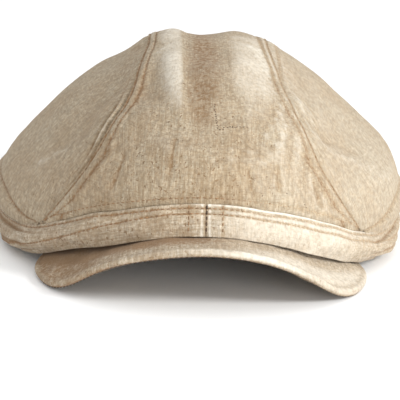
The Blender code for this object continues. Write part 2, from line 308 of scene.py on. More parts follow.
def band_section(angles, shares, out=0.0, grow=-0.0016, lift=-0.0006):
    """Points of the outer band: share 0 at the crown seam, 1 at the lower edge."""
    crown = Ring(CROWN_SEAM)
    edge = Ring(BAND_EDGE)
    lower = edge.point(angles)
    upper = crown.point(angles, grow, lift)
    across = edge.radius(angles) - crown.radius(angles)
    down = edge.height(angles) - crown.height(angles)
    length = np.hypot(across, down)
    normal = placed(angles, -down / length) - [0, AXIS_Y]
    normal = np.concatenate([normal, (across / length)[:, None]], -1)
    side = np.sin(angles) ** 2
    swell = (BAND_SWELL + FLANK_SWELL * side)[:, None] * np.sin(np.pi * shares)[None] + out
    straight = upper[:, None] + (lower - upper)[:, None] * shares[None, :, None]
    return straight + normal[:, None] * swell[..., None]


# MESHES

def stand_offset():
    """Where the frame put the design's origin, from the sweatband's box."""
    low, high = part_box("sweatband")
    ring = Ring(HEAD_RIM).point(np.linspace(-math.pi, math.pi, 49)[:-1])
    x = (low.x + high.x) / 2
    y = high.y - ring[:, 1].max()
    z = low.z - ring[:, 2].min()
    return np.array([x, y, z])


STAND = stand_offset()


def linked(name, data):
    """A new object with this data, in the scene."""
    made = bpy.data.objects.new(name, data)
    bpy.context.scene.collection.objects.link(made)
    return made


def quads_of(index):
    """The corners of each cell in a grid of numbers."""
    corners = [index[:-1, :-1], index[:-1, 1:], index[1:, 1:], index[1:, :-1]]
    return np.stack(corners, -1).reshape(-1, 4)


def mesh_object(name, points, faces, material, uv=None, paints=None):
    """A smooth mesh in the scene, with cloth coordinates and paints by point."""
    data = bpy.data.meshes.new(name)
    data.from_pydata(points + STAND, [], faces.tolist())
    data.shade_smooth()
    if uv is not None:
        layer = data.uv_layers.new(name="UVMap")
        index = np.empty(len(data.loops), np.int32)
        data.loops.foreach_get("vertex_index", index)
        layer.data.foreach_set("uv", uv[index].astype(np.float32).ravel())
    for key, values in (paints or {}).items():
        layer = data.attributes.new(key, "FLOAT", "POINT")
        layer.data.foreach_set("value", values.astype(np.float32))
    data.materials.append(material)
    return linked(name, data)


def cloth_uv(grid):
    """Cloth coordinates in metres: across the rows and down the columns."""
    across = lengths(grid, 1)
    across -= across[:, across.shape[1] // 2][:, None]
    return np.stack([across, lengths(grid, 0)], -1)


def straight_grain(grid, axis, across, start):
    """Cloth coordinates whose threads run straight over a crown panel."""
    flat = grid.copy()
    flat[..., across] = 0
    rise = lengths(flat, axis)
    if start:
        rise = np.take(rise, [-1], axis=axis) - rise
    foot = np.take(grid[..., 2], [-1 if start else 0], axis=axis)
    return np.stack([grid[..., across], foot + rise], -1)


def slant(grid, end):
    """Sine of the angle between each row and the seam at that end of it."""
    row = grid[:, 2] - grid[:, 0] if end == 0 else grid[:, -1] - grid[:, -3]
    run = np.gradient(grid[:, end], axis=0)
    size = np.maximum(norms(row) * norms(run), 1e-12)
    return np.clip(norms(np.cross(row, run)) / size, 0.25, 1)[:, None]


def shell(name, outer, material, thickness=CLOTH, wear_and_shading=0.0, grime_and_shade=0.0, uv=None, ring=False):
    """A closed piece of cloth under an outer surface, with rounded edges."""
    rows, columns = outer.shape[:2]
    count = rows * columns
    normal = outward_normals(outer, ring)
    index = np.arange(count).reshape(rows, columns)
    quads = quads_of(np.concatenate([index, index[:1]]) if ring else index)
    away = np.zeros_like(outer)
    away[:, 0] += outer[:, 0] - outer[:, 1]
    away[:, -1] += outer[:, -1] - outer[:, -2]
    if ring:
        loops = [index[::-1, 0], index[:, -1]]
    else:
        away[0] += outer[0] - outer[1]
        away[-1] += outer[-1] - outer[-2]
        loops = [np.concatenate([
            index[0, :-1], index[:-1, -1], index[-1, :0:-1], index[:0:-1, 0],
        ])]
    away = away.reshape(-1, 3)
    top = outer.reshape(-1, 3)
    under = (outer - normal * thickness).reshape(-1, 3)
    points, faces, total = [top, under], [quads, quads[:, ::-1] + count], 2 * count
    for loop in loops:
        way = away[loop] / np.maximum(norms(away[loop]), 1e-12)[:, None]
        points.append((top[loop] + under[loop]) / 2 + way * thickness / 2)
        middle = total + np.arange(len(loop))
        after, middle_after = np.roll(loop, -1), np.roll(middle, -1)
        faces.append(np.stack([after, loop, middle, middle_after], -1))
        faces.append(
            np.stack([middle_after, middle, loop + count, after + count], -1)
        )
        total += len(loop)
    rim = np.concatenate(loops)
    uv = (cloth_uv(outer) if uv is None else uv).reshape(-1, 2)
    worn_and_shaded = np.broadcast_to(wear_and_shading, (rows, columns)).reshape(-1)
    dirt_and_shade = np.broadcast_to(grime_and_shade, (rows, columns)).reshape(-1)
    faces = np.concatenate(faces)
    if (normals_of(outer, ring) * normal).sum() > 0:
        faces = faces[:, ::-1]
    paints = {
        "wear_and_shading": np.concatenate([worn_and_shaded, worn_and_shaded * 0, worn_and_shaded[rim]]),
        "grime_and_shade": np.concatenate([dirt_and_shade, dirt_and_shade, dirt_and_shade[rim]]),
    }
    uv = np.concatenate([uv, uv, uv[rim]])
    return mesh_object(name, np.concatenate(points), faces, material, uv, paints)


# One bead of thread, end to end: rings at this place along it, width and rise
BEAD = np.array([
    (-0.5, 0.35, -0.6), (-0.32, 0.9, 0.1), (0, 1, 0.45), (0.32, 0.9, 0.1), (0.5, 0.35, -0.6),
])[:, :, None, None]
BEAD_SIDES = 6
BEAD_FLATNESS = 0.8
# The faces that close its start
CAP = np.array([[5, 4, 3, 2], [5, 2, 1, 0]])


def bead_faces():
    rings = np.arange(len(BEAD) * BEAD_SIDES).reshape(-1, BEAD_SIDES)
    wall = quads_of(np.hstack([rings, rings[:, :1]]))
    return np.concatenate([wall, CAP, rings[-1][[[0, 1, 2, 3], [0, 3, 4, 5]]]])


def stitch_mesh(name, lines, material, length=0.0024, gap=0.0009, radius=0.00028):
    """Thread beads along lines of (points, normals) on the cloth."""
    turn = np.arange(BEAD_SIDES) / BEAD_SIDES * 2 * np.pi
    pattern = bead_faces()
    points, faces = [], []
    for line, normal in lines:
        reach = lengths(line[:, None], 0)[:, 0]
        for k in range(int(reach[-1] / (length + gap))):
            middle = (k + 0.5) * (length + gap)
            run = read_at(middle + length / 2, reach, line)
            run = run - read_at(middle - length / 2, reach, line)
            run /= np.linalg.norm(run)
            up = read_at(middle, reach, normal)
            up = up - run * (up @ run)
            up /= np.linalg.norm(up)
            side = np.cross(run, up)
            ring = np.cos(turn)[:, None] * side + np.sin(turn)[:, None] * up * BEAD_FLATNESS
            bead = read_at(middle, reach, line) + BEAD[:, 0] * length * run
            bead = bead + BEAD[:, 1] * radius * ring + BEAD[:, 2] * radius * up
            faces.append(pattern + len(points) * len(BEAD) * BEAD_SIDES)
            points.append(bead.reshape(-1, 3))
    return mesh_object(name, np.concatenate(points), np.concatenate(faces), material)


def stitch_row(points, up, distance, value):
    """The line for stitches where the distance reaches the value on each row."""
    return track(points, distance, value), track(up, distance, value)


def flipped(*grids):
    return [grid.swapaxes(0, 1) for grid in grids]


# MATERIALS

def fill(tree, made, inputs):
    """Sets a node's inputs, each to a value or linked to an output."""
    for key, value in inputs.items():
        if isinstance(value, bpy.types.NodeSocket):
            tree.links.new(value, made.inputs[key])
        else:
            made.inputs[key].default_value = value


def node(tree, kind, inputs, **settings):
    made = tree.nodes.new("ShaderNode" + kind)
    for key, value in settings.items():
        setattr(made, key, value)
    fill(tree, made, inputs)
    return made


def mixed(tree, share, a, b, blend="MIX"):
    """Colour a turned into b by this share; 6 and 7 are the mix node's colours."""
    a, b = (c if isinstance(c, bpy.types.NodeSocket) else (*c, 1) for c in (a, b))
    inputs = {0: share, 6: a, 7: b}
    return node(tree, "Mix", inputs, data_type="RGBA", blend_type=blend).outputs[2]


def ranged(tree, value, low, high, start=0.0, end=1.0):
    inputs = {
        "Value": value, "From Min": low, "From Max": high,
        "To Min": start, "To Max": end,
    }
    return node(tree, "MapRange", inputs, interpolation_type="SMOOTHSTEP").outputs[0]


def maths(tree, operation, a, b):
    return node(tree, "Math", {0: a, 1: b}, operation=operation).outputs[0]


def times(tree, a, b):
    return maths(tree, "MULTIPLY", a, b)


def noise(tree, place, scale, detail, rough=0.5):
    inputs = {"Vector": place, "Scale": scale, "Detail": detail, "Roughness": rough}
    return node(tree, "TexNoise", inputs).outputs["Fac"]


def threads(tree, place, scale, shift, detail=2.0):
    """Noise in cycles a metre along each coordinate: it draws out along the least."""
    inputs = {"Vector": place, "Scale": scale, "Location": (shift, shift, shift)}
    return noise(tree, node(tree, "Mapping", inputs).outputs[0], 1.0, detail, 0.6)


def mottled(tree, place, scale, detail, dark, light):
    """Noise between two colours, and its share of the light one."""
    share = ranged(tree, noise(tree, place, scale, detail), 0.35, 0.65)
    return mixed(tree, share, dark, light), share


def new_material(name):
    """A material, its node tree and the object's own coordinates."""
    material = bpy.data.materials.new(name)
    material.use_nodes = True
    tree = material.node_tree
    return material, tree, node(tree, "TexCoord", {}).outputs["Object"]


def finish(material, **inputs):
    """Fills the material's shader: a name's words are parted by underlines."""
    tree = material.node_tree
    inputs = {key.replace("_", " "): value for key, value in inputs.items()}
    fill(tree, tree.nodes["Principled BSDF"], inputs)
    return material


def tinted(colour, tint):
    return tuple(c * f for c, f in zip(colour, tint))


def between(a, b, share):
    return tuple((1 - share) * p + share * q for p, q in zip(a, b))


PALE = (0.468, 0.404, 0.303)
DEEP = (0.315, 0.243, 0.16)
# Colour for bleaching and painted highlights on ridges
BLEACH_AND_HIGHLIGHT = (0.9, 0.87, 0.79)
# Thread colour for the painted light on the +X side
LIT_SIDE_THREAD = (0.56, 0.46, 0.32)
# What each stain, and the painted shade in creases and on the -X side, leaves of the deep colour's
# red, green and blue
BROWN_TINT = (0.62, 0.48, 0.36)
FLECK_TINT = (0.44, 0.31, 0.2)
WARM_TINT = (1.05, 0.92, 0.78)
STREAK_TINT = (0.74, 0.66, 0.55)
STAIN_AND_SHADE_TINT = (0.62, 0.44, 0.28)


def weave_of(tree, cloth, place):
    """Warp and weft, and a grain that hides their grid."""
    warp = threads(tree, cloth, (1350, 190, 1), 3.0)
    weft = threads(tree, cloth, (190, 1350, 1), 11.0)
    grain = threads(tree, place, (800, 800, 700), 5.0)
    both = times(tree, maths(tree, "ADD", warp, weft), 0.34)
    return maths(tree, "ADD", both, times(tree, grain, 0.32))


def linen(name, pale, deep, contrast=1.0):
    """Slubby plain weave, with bleaching and painted highlights on its ridges and brown staining and
    painted shade in its creases.
    """
    material, tree, place = new_material(name)
    cloth = node(tree, "UVMap", {}, uv_map="UVMap").outputs[0]
    grime_and_shade = node(tree, "Attribute", {}, attribute_name="grime_and_shade").outputs["Fac"]
    wear_and_shading = node(tree, "Attribute", {}, attribute_name="wear_and_shading").outputs["Fac"]
    weave = weave_of(tree, cloth, place)
    spread = 0.13 / contrast
    colour = mixed(tree, ranged(tree, weave, 0.5 - spread, 0.5 + spread), deep, pale)
    # Slubs along both threads
    brown = tinted(deep, BROWN_TINT)
    for scale, shift in (((800, 60, 1), 23.0), ((60, 800, 1), 37.0)):
        slub = ranged(tree, threads(tree, cloth, scale, shift, 1.0), 0.6, 0.74, 0, 0.3)
        colour = mixed(tree, slub, colour, brown)
    # Dark flecks, more of them where the cloth is soiled, and on the -X side of band and visor, where
    # shade is painted with the soil
    limit = maths(tree, "SUBTRACT", 0.73, times(tree, grime_and_shade, 0.125))
    fleck = threads(tree, place, (560, 560, 420), 51.0, 1.0)
    fleck = times(tree, maths(tree, "SUBTRACT", fleck, limit), 26.0)
    fleck = ranged(tree, fleck, 0, 1, 0, 0.78)
    colour = mixed(tree, fleck, colour, tinted(deep, FLECK_TINT))
    # Warm clouds, and patches of soil, which on the band and visor also paint shade on the -X side
    cloud = ranged(tree, noise(tree, place, 24.0, 4.0), 0.3, 0.7, 0.0, 0.34)
    colour = mixed(tree, cloud, colour, tinted(deep, WARM_TINT))
    soil_and_shade = times(tree, ranged(tree, noise(tree, place, 75.0, 5.0), 0.42, 0.66), grime_and_shade)
    colour = mixed(tree, times(tree, soil_and_shade, 0.45), colour, brown)
    # Heather, and streaks down the cloth
    heather = threads(tree, place, (460, 460, 270), 91.0, 3.0)
    light = ranged(tree, heather, 0.36, 0.64, 0.84, 1.14)
    colour = mixed(tree, 1.0, colour, light, "MULTIPLY")
    streak = ranged(tree, threads(tree, cloth, (620, 55, 1), 73.0, 4.0), 0.38, 0.66)
    streak = times(tree, streak, ranged(tree, grime_and_shade, 0.0, 0.8, 0.3, 0.62))
    colour = mixed(tree, streak, colour, tinted(deep, STREAK_TINT))
    # Bleaching and painted highlights on ridges, brown stains and painted shade in creases
    patchy = threads(tree, place, (420, 420, 300), 67.0)
    ridge = times(tree, wear_and_shading, ranged(tree, patchy, 0.3, 0.62, 0.75, 1.1))
    ridge = ranged(tree, ridge, 0.05, 1.0, 0, 0.9)
    colour = mixed(tree, ridge, colour, between(pale, BLEACH_AND_HIGHLIGHT, 0.55))
    crease = times(tree, times(tree, wear_and_shading, -1.0), ranged(tree, patchy, 0.3, 0.62, 1.1, 0.5))
    crease = ranged(tree, crease, 0.05, 1.0, 0, 0.85)
    colour = mixed(tree, crease, colour, tinted(deep, STAIN_AND_SHADE_TINT))
    # The relief of the weave
    fine = times(tree, threads(tree, cloth, (2600, 2600, 1), 81.0), 0.3)
    height = maths(tree, "ADD", weave, fine)
    bump = node(tree, "Bump", {"Height": height, "Strength": 0.8, "Distance": 0.001})
    return finish(
        material, Base_Color=colour, Normal=bump.outputs[0], Roughness=0.95,
        Specular_IOR_Level=0.15, Sheen_Weight=0.08, Sheen_Roughness=0.6,
    )


def thread_material(name, colour, lit_share=0.85):
    """Sewing thread, painted paler towards the +X side, where the light falls."""
    material, tree, place = new_material(name)
    sewn = mottled(tree, place, 260.0, 2.0, tinted(colour, (0.55, 0.55, 0.55)), colour)[0]
    side = node(tree, "SeparateXYZ", {"Vector": place}).outputs[0]
    side = ranged(tree, side, 0.005, 0.04, 0, lit_share)
    sewn = mixed(tree, side, sewn, between(colour, LIT_SIDE_THREAD, 0.55))
    return finish(material, Base_Color=sewn, Roughness=0.7)


def brass():
    material, tree, place = new_material("aged_brass")
    colour, share = mottled(tree, place, 300.0, 5.0, (0.2, 0.13, 0.06), (0.52, 0.38, 0.19))
    polish = ranged(tree, share, 0, 1, 0.55, 0.3)
    return finish(material, Base_Color=colour, Roughness=polish, Metallic=1.0)


def board_material():
    material, tree, place = new_material("visor_board")
    colour = mottled(tree, place, 400.0, 3.0, (0.2, 0.2, 0.19), (0.28, 0.28, 0.27))[0]
    return finish(material, Base_Color=colour, Roughness=0.5)


CROWN_LINEN = linen("linen_crown", PALE, DEEP)
BAND_LINEN = linen("linen_band", (0.56, 0.495, 0.395), (0.355, 0.285, 0.2), 1.25)
UNDER_LINEN = linen("linen_under", (0.3, 0.23, 0.15), (0.2, 0.145, 0.09))
LINING_COTTON = linen("cotton_lining", (0.3, 0.25, 0.19), (0.22, 0.175, 0.125), 0.6)
BOARD_GREY = board_material()
BROWN_THREAD = thread_material("thread_brown", (0.3, 0.165, 0.075))
DARK_THREAD = thread_material("thread_dark", (0.1, 0.06, 0.035), 0.25)


# CROWN

SETTLE_RINGS = 26
SETTLE_SPOKES = 120
SETTLE_FRAMES = 20
FIRST_RING = 0.05
SETTLE_RULES = {
    "quality": 6, "mass": 0.25, "tension_stiffness": 12, "compression_stiffness": 12,
    "shear_stiffness": 4, "bending_stiffness": 0.3, "air_damping": 2, "shrink_min": -0.035,
    "vertex_group_mass": "held", "use_pressure": True, "uniform_pressure_force": 4,
}
MOST_SETTLE = 0.005
MOST_FOLD = 0.0016
# Stitch rows: distances from the panel seam, and from the band
SEAM_ROWS = (0.0012, 0.0054)
RING_ROW = 0.0042
TAIL_STEPS = (0.33, 0.67, 1.0)
# Drawn lines in the front of the crown: x at the top and foot, z of both
DRAG_LINES = [
    (0.0235, 0.027, 0.0735, 0.061), (0.0405, 0.042, 0.073, 0.063),
    (-0.02, -0.0215, 0.088, 0.07), (0.064, 0.068, 0.062, 0.05),
    (-0.048, -0.054, 0.076, 0.06),
]
# Dark slubs in the middle panel, seen from above: a broken darn, then single ones
DARN = [(0.002, -0.0655), (0.0045, -0.0835), (0.0235, -0.0785)]
SLUBS = [(0.0325, -0.106), (0.0475, -0.098), (0.0585, -0.0935), (0.0345, -0.1)]


def crown_net(dome):
    """A coarse net of the crown cloth: rings of points by share and angle."""
    shares = np.linspace(FIRST_RING, 1, SETTLE_RINGS)
    angles = np.arange(SETTLE_SPOKES) / SETTLE_SPOKES * 2 * np.pi
    return dome.on(placed(angles, shares[:, None] * dome.ring.radius(angles)[None]))


def net_object(dome, net):
    """The net as a mesh, held at its ring and half held at the panel seams."""
    index = np.arange(net.shape[0] * net.shape[1]).reshape(net.shape[:2])
    faces = quads_of(np.hstack([index, index[:, :1]])).tolist() + [index[0][::-1].tolist()]
    data = bpy.data.meshes.new("crown_net")
    data.from_pydata(net.reshape(-1, 3), [], faces)
    cloth = linked("crown_net", data)
    held = cloth.vertex_groups.new(name="held")
    held.add(index[-1].tolist(), 1.0, "REPLACE")
    seam = dome.seam(np.linspace(0, 1, 300), 0.0001)
    seam = np.concatenate([seam, seam * [-1, 1]])
    near = norms(net[:-1, :, None, :2] - seam).min(axis=2)
    held.add(index[:-1][near < 0.0035].tolist(), 0.5, "REPLACE")
    return cloth


def settled_crown(dome):
    """How the slack crown cloth moves when it is held at its ring and seams."""
    net = crown_net(dome)
    cloth = net_object(dome, net)
    change = cloth.modifiers.new("Cloth", "CLOTH")
    for key, value in SETTLE_RULES.items():
        setattr(change.settings, key, value)
    change.settings.effector_weights.gravity = 0
    change.point_cache.frame_start = 1
    change.point_cache.frame_end = SETTLE_FRAMES
    scene = bpy.context.scene
    for number in range(1, SETTLE_FRAMES + 1):
        scene.frame_set(number)
    graph = bpy.context.evaluated_depsgraph_get()
    found = np.empty(net.size, np.float32)
    cloth.evaluated_get(graph).to_mesh().vertices.foreach_get("co", found)
    cloth.evaluated_get(graph).to_mesh_clear()
    data = cloth.data
    bpy.data.objects.remove(cloth)
    bpy.data.meshes.remove(data)
    scene.frame_set(1)
    moved = found.reshape(net.shape).astype(float) - net
    size = np.maximum(norms(moved), 1e-9)[..., None]
    return moved * np.minimum(1, MOST_SETTLE / size)


def folds_at(settle, dome, points, normal):
    """The settled cloth's small folds, as a distance along the normals."""
    margin = 8
    wide = np.concatenate([settle[:, -margin:], settle, settle[:, :margin]], axis=1)
    smooth = np.stack([blurred(wide[..., k], 40) for k in range(3)], -1)
    fold = np.stack([blurred(wide[..., k], 1) for k in range(3)], -1) - smooth
    row = (dome.share(points) - FIRST_RING) / (1 - FIRST_RING) * (SETTLE_RINGS - 1)
    turn = polar(points)[0] / (2 * np.pi) % 1 * SETTLE_SPOKES + margin
    row = np.clip(row, 0, SETTLE_RINGS - 1.001)
    i, j = row.astype(int), turn.astype(int)
    a, b = step(0, 1, row - i)[..., None], step(0, 1, turn - j)[..., None]
    upper = fold[i, j] * (1 - b) + fold[i, j + 1] * b
    lower = fold[i + 1, j] * (1 - b) + fold[i + 1, j + 1] * b
    return ((upper * (1 - a) + lower * a) * normal).sum(-1)


def drawn_lines(points):
    """1 along each drawn line in the front of the crown, 0 away from them."""
    x, y, z = np.moveaxis(points, -1, 0)
    drawn = 0
    for upper, lower, top, foot in DRAG_LINES:
        line = lower + (upper - lower) * (z - foot) / (top - foot)
        reach = step(foot - 0.003, foot + 0.001, z) * (1 - step(top - 0.001, top + 0.003, z))
        drawn = drawn + hill(x, line, 0.0011) * reach * step(-0.02, -0.05, y)
    return drawn


def crown_lift(points, share, folds, drawn):
    """How far the cloth stands out from the crown's even dome."""
    x, y, z = np.moveaxis(points, -1, 0)
    # The two ridges over the top, and the fold between them
    high = step(0.092, 0.114, z) * (1 - 0.55 * step(0.122, 0.131, z))
    sharp = np.where(x < -0.0125, 0.0045, 0.014)
    lift = 0.0008 * hill(x, -0.024, 0.0075) * high + 0.0006 * hill(x, 0.02, 0.014) * high
    lift -= 0.0022 * hill(x, -0.0125, sharp) * high
    # The hollow in the left flank, slow waves all over, and drags above the band
    lift -= 0.0012 * hill(x, -0.108, 0.03) * hill(z, 0.07, 0.026)
    lift += 0.0008 * ripple(points, 0.06, 4)
    lift += 0.0003 * ripple(points * [1, 0.6, 0.5], 0.019, 9)
    drag = ripple(points * [1, 0.12, 0.12], 0.011, 21)
    lift += 0.0004 * drag * step(0.0, -0.07, y) * step(0.55, 0.9, share)
    # The settled folds, which die out on the ridges
    calm = 1 - 0.9 * hill(x, 0, 0.05) * step(0.09, 0.11, z)
    lift += np.clip(folds, -MOST_FOLD, MOST_FOLD) * calm
    # The fuller right flank
    fuller = 0.0068 * hill(x, 0.13, 0.034) * hill(z, 0.048, 0.03)
    return lift * (1 - share**5) - 0.0006 * drawn + fuller * (1 - share**12)


def crown_painted_light(points, drawn):
    """Painted light above 0 and painted shade below it, over the front of the crown."""
    x, y, z = np.moveaxis(points, -1, 0)
    # Painted highlight on the left ridge over the top; painted shade in the fold right of it, left of
    # it and along the drawn lines
    ridge = step(-0.04, -0.023, x) * (1 - step(-0.0185, -0.0135, x))
    valley = hill(x, -0.0045, np.where(x < -0.0045, 0.009, 0.013))
    painted_light = 0.55 * ridge * step(0.094, 0.114, z) - 0.55 * drawn
    painted_light -= 0.9 * valley * step(0.086, 0.11, z)
    painted_light -= 0.3 * hill(x, -0.046, 0.01) * step(0.086, 0.105, z)
    # Painted light: lighter on the right side and darker on the left, with painted highlights on the
    # right ridge and on the left flank
    right_ridge = step(0.002, 0.016, x) * (1 - step(0.03, 0.05, x))
    light = 0.26 * step(0.004, 0.045, x) - 0.16 * step(-0.025, -0.065, x)
    light += 0.4 * right_ridge * step(0.096, 0.116, z)
    light += 0.3 * hill(x, -0.098, 0.02) * hill(z, 0.056, 0.024)
    return painted_light * step(0.075, 0.03, y) + light * step(0.08, 0.0, y)


def soft_shape(grid, normal, dome, settle):
    """The crown's points in their soft shape, with their lift and their painted light and shade."""
    share = dome.share(grid)
    drawn = drawn_lines(grid)
    lift = crown_lift(grid, share, folds_at(settle, dome, grid, normal), drawn)
    moved = grid + normal * lift[..., None]
    moved[..., 0] += 0.0028 * step(0.02, 0.1, grid[..., 2]) * (1 - share**5)
    moved[..., 2] -= 0.0013 * step(0.119, 0.129, grid[..., 2])
    return moved, lift, crown_painted_light(grid, drawn)


def soil_on(points):
    """Where the crown is most soiled: low on the front, left of the middle."""
    x, y, z = np.moveaxis(points, -1, 0)
    soil_and_shade = 0.8 * step(0.0, -0.05, y) * (0.35 + 0.65 * hill(x, -0.012, 0.045))
    return soil_and_shade * (1 - 0.45 * step(0.07, 0.11, z)) * (1 - 0.6 * step(0.02, 0.07, x))


def crest_of(lift, reach=14):
    """How far each point stands above its surroundings, about -1 to 1."""
    return np.clip((lift - blurred(lift, reach)) / 0.0003, -1, 1)


def band_cover(angle):
    """1 where the band laps over the crown, 0 where the crown hangs over it."""
    turn = np.degrees(np.abs(angle))
    return 1 - step(48, 66, turn) + step(118, 138, turn)


def ring_tuck(points, distance):
    """How far the crown draws in where it goes under the band."""
    cover = band_cover(polar(points)[0])
    pull = (1 - step(0.001, 0.007, distance)) * cover
    roll = hill(distance, 0.0045, 0.004) * (1 - cover)
    return -0.0003 * pull + 0.001 * roll


def roll_line(grid):
    """How far above the band each strip's stitch line runs: most at the flanks."""
    turn = np.degrees(np.abs(polar(grid[:, -1:])[0]))
    high = step(52, 82, turn) * (1 - step(105, 140, turn))
    return RING_ROW + 0.0085 * high + 0 * grid[..., 0]


def tail_of(edge):
    """Cloth below the crown's own edge, where it goes down behind the band."""
    angle = polar(edge)[0]
    inward = np.stack([-np.sin(angle), np.cos(angle), 0 * angle], -1)
    reach = 0.0004 + 0.0036 * band_cover(angle)[..., None]
    return [edge + (inward * 0.12 - [0, 0, 1]) * reach * k for k in TAIL_STEPS]


def slub_lines(grid, moved, up):
    """Short lines on the cloth for the darn and the slubs."""
    darn = along(np.array(DARN), np.linspace(0, 1, 40))
    darn = darn + 0.0004 * np.sin(np.arange(40) * [[2.1], [3.3]]).T
    lines = [darn] + [
        np.array(spot) + np.outer([-1, 1], [0.0011, 0.0004]) for spot in SLUBS
    ]
    found = []
    for line in lines:
        gap = norms(grid[:, :, None, :2] - line)
        near = gap.reshape(-1, len(line)).argmin(axis=0)
        found.append((moved.reshape(-1, 3)[near], up.reshape(-1, 3)[near]))
    return found


def crown_piece(name, whole, grid, pads, worn_and_shaded, uv):
    """A crown panel with its tail, painted alike where the tail goes on."""
    worn_and_shaded, soil_and_shade = (np.pad(field, pads, mode="edge") for field in (worn_and_shaded, soil_on(grid)))
    return shell(name, whole, CROWN_LINEN, wear_and_shading=worn_and_shaded, grime_and_shade=soil_and_shade, uv=uv)


def add_middle(dome, settle):
    """The middle panel, which laps over both side panels, and its stitch rows."""
    grid = centre_grid(dome, 210, 170, 0.0012)
    normal = outward_normals(grid)
    moved, lift, painted_light = soft_shape(grid, normal, dome, settle)
    across, down = lengths(grid, 1), lengths(grid, 0)
    near, far = across * slant(grid, 0), (across[:, -1:] - across) * slant(grid, -1)
    seam = np.minimum(near, far)
    ring = np.minimum(down, down[-1:] - down)
    right = step(-0.02, 0.03, grid[..., 0])
    lap = (0.0011 - 0.0005 * right) * (1 - step(0.0052, 0.0085, seam))
    lap *= 1 - 0.6 * step(0.095, 0.12, grid[..., 2])
    groove = hill(seam, SEAM_ROWS[0], 0.0006) + hill(seam, SEAM_ROWS[1], 0.0008)
    fine = lap - 0.00055 * groove - 0.0003 * hill(ring, RING_ROW, 0.0006)
    moved = moved + normal * (fine + ring_tuck(grid, ring))[..., None]
    # Painted highlights on the fold crests and painted shade in their hollows, plus the crown's
    # painted light and shade
    worn_and_shaded = crest_of(lift) * 0.25 + painted_light
    # A pale ridge beside the left seam
    worn_and_shaded += (0.3 - 0.3 * right) * hill(seam, 0.003, 0.0014)
    # Brown along the stitch rows, which also paints shade in their grooves
    rows = hill(seam, 0.0009, 0.001) + hill(seam, 0.0055, 0.0011)
    worn_and_shaded -= (0.8 + 0.25 * right) * rows + 0.45 * hill(ring, RING_ROW, 0.001)
    whole = np.concatenate([tail_of(moved[0])[::-1], moved, tail_of(moved[-1])])
    pads = [(3, 3), (0, 0)]
    uv = np.pad(straight_grain(grid, 0, 0, False), pads + [(0, 0)], mode="edge")
    uv[:3, :, 1] -= np.array([0.003, 0.002, 0.001])[:, None]
    centre = crown_piece("crown_middle", whole, grid, pads, worn_and_shaded, uv)
    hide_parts("crown_centre_panel")
    up = outward_normals(moved)
    slubs = stitch_mesh(
        "crown_slubs", slub_lines(grid, moved, up), DARK_THREAD, 0.0011, 0.0009, 0.00026
    )
    lines = [stitch_row(moved, up, near, row) for row in SEAM_ROWS]
    mirror = [field[:, ::-1] for field in (moved, up, far)]
    lines += [stitch_row(*mirror, row) for row in SEAM_ROWS]
    lines.append(stitch_row(*flipped(moved, up, down), RING_ROW))
    behind = [field[::-1] for field in (moved, up, down[-1:] - down)]
    lines.append(stitch_row(*flipped(*behind), RING_ROW))
    return [centre, slubs], lines


def add_side(dome, settle, side, name):
    """One side panel, which rolls over the band at the flank."""
    grid = side_grid(dome, 200, 120, -0.0025) * [side, 1, 1]
    normal = outward_normals(grid)
    moved, lift, painted_light = soft_shape(grid, normal, dome, settle)
    reach = lengths(grid, 1)
    seam = reach * slant(grid, 0)
    ring = (reach[:, -1:] - reach) * slant(grid, -1)
    run = np.linspace(0, 1, len(grid))[:, None]
    flow = np.stack([seam + 0.012 * run, 0.014 * run + 0 * seam, 0 * seam], -1)
    pucker = ripple(flow, 0.004, 31 + side) * (1.5 if side < 0 else 0.12)
    pucker *= hill(seam, 0.0095, 0.0055) * hill(run, 0.24, 0.12)
    row = (0.0105 - 0.0075 * step(0.62, 0.3, run)) if side > 0 else 0.0022 + 0 * run
    sewn = roll_line(grid)
    fine = 0.0005 * pucker - 0.0005 * (1 - step(0.003, 0.009, seam))
    fine -= 0.0007 * hill(ring, sewn, 0.001) + 0.0003 * hill(seam, row, 0.0006)
    fine += 0.0011 * hill(ring, 0.5 * sewn, 0.3 * sewn) * step(0.005, 0.008, sewn)
    moved = moved + normal * (fine + ring_tuck(grid, ring))[..., None]
    # Painted highlights on the fold crests and painted shade in their hollows, plus the crown's
    # painted light and shade
    worn_and_shaded = crest_of(lift) * (0.1 if side > 0 else 0.25) + painted_light
    # Painted highlights and painted shade along the puckers
    worn_and_shaded += 0.55 * np.clip(pucker, -1, 0.7)
    # A darker strip along the left seam, high on the crown
    if side < 0:
        worn_and_shaded -= 0.9 * hill(seam, 0.0012, 0.0012) * hill(moved[..., 2], 0.09, 0.012)
    # Brown along the rolled stitch line and the seam's stitch row, which also paints shade in their
    # grooves
    worn_and_shaded -= 0.75 * hill(ring, sewn, 0.0012) + 0.55 * hill(seam, row, 0.001)
    whole = np.concatenate([moved, np.stack(tail_of(moved[:, -1]), axis=1)], axis=1)
    pads = [(0, 0), (0, 3)]
    uv = np.pad(straight_grain(grid, 1, 1, True), pads + [(0, 0)], mode="edge")
    panel = crown_piece("crown_" + name, whole, grid, pads, worn_and_shaded, uv)
    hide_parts(f"crown_{name}_panel")
    up = outward_normals(moved)
    mirror = [field[:, ::-1] for field in (moved, up, ring)]
    lines = [stitch_row(*mirror, sewn[:, -1]), stitch_row(moved, up, seam, row[:, 0])]
    return panel, lines


def add_crown():
    dome = Dome(Ring(CROWN_SEAM), APEX_Z)
    settle = settled_crown(dome)
    made, lines = add_middle(dome, settle)
    for side, name in ((1, "right"), (-1, "left")):
        panel, rows = add_side(dome, settle, side, name)
        made.append(panel)
        lines += rows
    made.append(stitch_mesh("crown_stitching", lines, BROWN_THREAD, radius=0.00024))
    return made


# BAND

